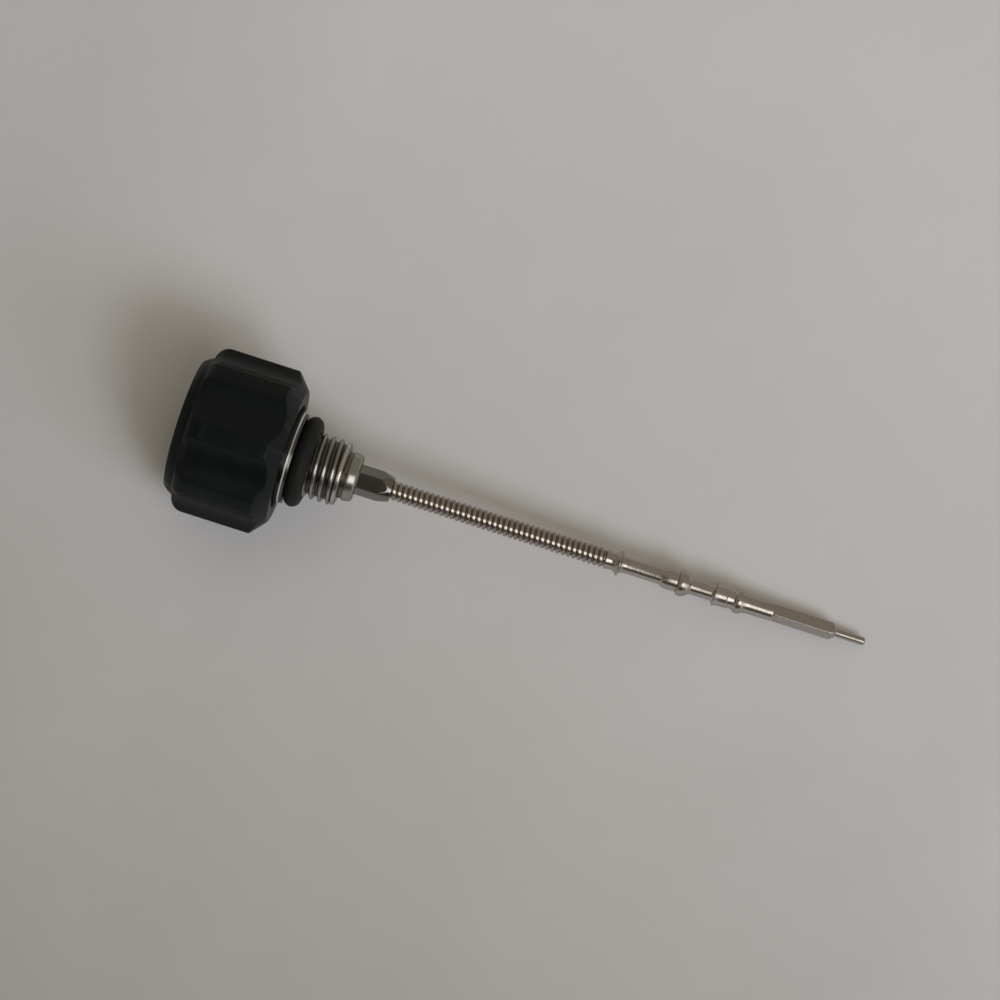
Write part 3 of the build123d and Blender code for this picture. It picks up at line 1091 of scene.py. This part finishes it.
def paper_finish():
    """Plain pale paper with a faint cloudiness, and painted shade: a little darker and yellower towards one
    corner, darker beside the crown and a little darker past the pivot's end.
    """
    material, nodes, links, shader = new_material("paper")
    place = nodes.new("ShaderNodeTexCoord")
    clouds = noise(nodes, links, place.outputs["Object"], 75, 4, 0.55)
    fibres = noise(nodes, links, place.outputs["Object"], 900, 3, 0.6)
    along = nodes.new("ShaderNodeVectorMath")
    along.operation = "DOT_PRODUCT"
    along.inputs[1].default_value = painted_falloff_direction
    links.new(place.outputs["Object"], along.inputs[0])
    tone = ranged(nodes, links, along.outputs["Value"], -0.032, 0.032, 0.0, 0.88)
    mottled = nodes.new("ShaderNodeMath")
    mottled.operation = "MULTIPLY_ADD"
    mottled.inputs[1].default_value = 0.16
    links.new(clouds, mottled.inputs[0])
    links.new(tone, mottled.inputs[2])
    base = ramp(nodes, links, mottled.outputs[0], painted_falloff_tones)
    split = nodes.new("ShaderNodeSeparateXYZ")
    links.new(place.outputs["Object"], split.inputs[0])
    # Painted shadow of the crown on the paper towards and past its outer face, and painted shade past the
    # pivot's end.
    painted_crown_shadow = ranged(nodes, links, split.outputs["X"], -0.016, -0.003, 0.87, 1.0)
    painted_pivot_shade = ranged(nodes, links, split.outputs["X"], 0.020, 0.036, 1.0, 0.95)
    dimmed = nodes.new("ShaderNodeVectorMath")
    dimmed.operation = "SCALE"
    links.new(base, dimmed.inputs[0])
    links.new(arithmetic(nodes, links, "MULTIPLY", painted_crown_shadow, painted_pivot_shade), dimmed.inputs["Scale"])
    links.new(dimmed.outputs[0], shader.inputs["Base Color"])
    rough = bump(nodes, links, clouds, 1.2e-3, 0.10)
    links.new(bump(nodes, links, fibres, 4e-5, 0.12, rough), shader.inputs["Normal"])
    shader.inputs["Roughness"].default_value = 0.8
    shader.inputs["Specular IOR Level"].default_value = 0.2
    return material


make_floor().data.materials.append(paper_finish())


light_aim = Vector((0.010, 0, 0))


def make_light(name, direction, distance, width, height, power, colour, mirrored):
    """A soft rectangular light that looks at the stem's middle, with its width along X."""
    data = bpy.data.lights.new(name, "AREA")
    data.shape = "RECTANGLE"
    data.size = width
    data.size_y = height
    data.energy = power
    data.color = colour
    light = linked(name, data)
    light.visible_glossy = mirrored
    back = direction.normalized()
    side = (axis_right - back * axis_right.dot(back)).normalized()
    up = back.cross(side)
    turned = Matrix((side, up, back)).transposed().to_4x4()
    light.matrix_world = Matrix.Translation(light_aim + back * distance) @ turned


# The window is split in three. Only the first part is mirrored, which keeps its reflection as
# soft as the photograph's.
window_distance, window_width, window_height, unseen_width = 0.45, 0.225, 0.25, 0.11
warm_white, cool_white = (1.0, 0.96, 0.90), (0.757, 0.795, 1.0)
make_light(
    "window_seen",
    toward_camera + axis_right * 0.39 + across_down * 0.21,
    window_distance,
    window_width,
    window_height,
    0.39,
    warm_white,
    True,
)
unseen_windows = [
    ("window_lower", toward_camera + axis_right * 0.55 + across_down * 0.31, 0.44),
    ("window_side", toward_camera + axis_right * 1.10 + across_down * 0.30, 0.20),
]
for light_name, light_direction, light_power in unseen_windows:
    make_light(
        light_name,
        light_direction,
        window_distance,
        unseen_width,
        unseen_width,
        light_power,
        cool_white,
        False,
    )


def direction_part(nodes, links, place, axis):
    """How far a direction leans along an axis."""
    node = nodes.new("ShaderNodeVectorMath")
    node.operation = "DOT_PRODUCT"
    node.inputs[1].default_value = axis
    links.new(place.outputs["Generated"], node.inputs[0])
    return node.outputs["Value"]


def distance_from(nodes, links, value, middle):
    """The distance of a value from a middle one."""
    return arithmetic(nodes, links, "ABSOLUTE", arithmetic(nodes, links, "SUBTRACT", value, middle), 0.0)


sky_dark, sky_light = (0.060, 0.055, 0.046), (0.278, 0.250, 0.202)
far_window = (1.10, 1.08, 1.04, 1)


def make_world():
    """Dim warm surroundings, dark low down towards -Y and in a small patch where the camera stands."""
    world = bpy.data.worlds.new("surroundings")
    bpy.context.scene.world = world
    world.use_nodes = True
    nodes, links = world.node_tree.nodes, world.node_tree.links
    background = nodes["Background"]
    place = nodes.new("ShaderNodeTexCoord")
    split = nodes.new("ShaderNodeSeparateXYZ")
    links.new(place.outputs["Generated"], split.inputs[0])
    low_side = ranged(nodes, links, split.outputs["Y"], -0.86, -0.66, 0.0, 1.0)
    across = direction_part(nodes, links, place, axis_right)
    down = direction_part(nodes, links, place, across_down)
    patch_across = ranged(nodes, links, distance_from(nodes, links, across, -0.26), 0.31, 0.37, 0.0, 1.0)
    patch_down = ranged(nodes, links, distance_from(nodes, links, down, 0.02), 0.19, 0.25, 0.0, 1.0)
    above = ranged(nodes, links, split.outputs["Z"], 0.0, 0.05, 1.0, 0.0)
    beside = arithmetic(nodes, links, "MAXIMUM", patch_across, patch_down)
    patch = arithmetic(nodes, links, "MAXIMUM", beside, above)
    crown_side = ranged(nodes, links, split.outputs["X"], -0.80, -0.55, 0.85, 1.0)
    sides = arithmetic(nodes, links, "MULTIPLY", low_side, crown_side)
    open_sky = arithmetic(nodes, links, "MULTIPLY", sides, patch)
    colour = ramp(nodes, links, open_sky, [(0.0, sky_dark), (1.0, sky_light)])
    bright_side = ranged(nodes, links, split.outputs["X"], 0.52, 0.62, 0.0, 1.0)
    bright_band = within(nodes, links, down, 0.0, 0.42, 0.08)
    bright_side = arithmetic(nodes, links, "MULTIPLY", bright_side, bright_band)
    over_floor = ranged(nodes, links, split.outputs["Z"], 0.02, 0.10, 0.0, 1.0)
    mix = nodes.new("ShaderNodeMix")
    mix.data_type = "RGBA"
    links.new(arithmetic(nodes, links, "MULTIPLY", bright_side, over_floor), mix.inputs["Factor"])
    links.new(colour, mix.inputs["A"])
    mix.inputs["B"].default_value = far_window
    links.new(mix.outputs["Result"], background.inputs["Color"])
    background.inputs["Strength"].default_value = 1.0


make_world()
bpy.context.scene.view_settings.view_transform = "Standard"
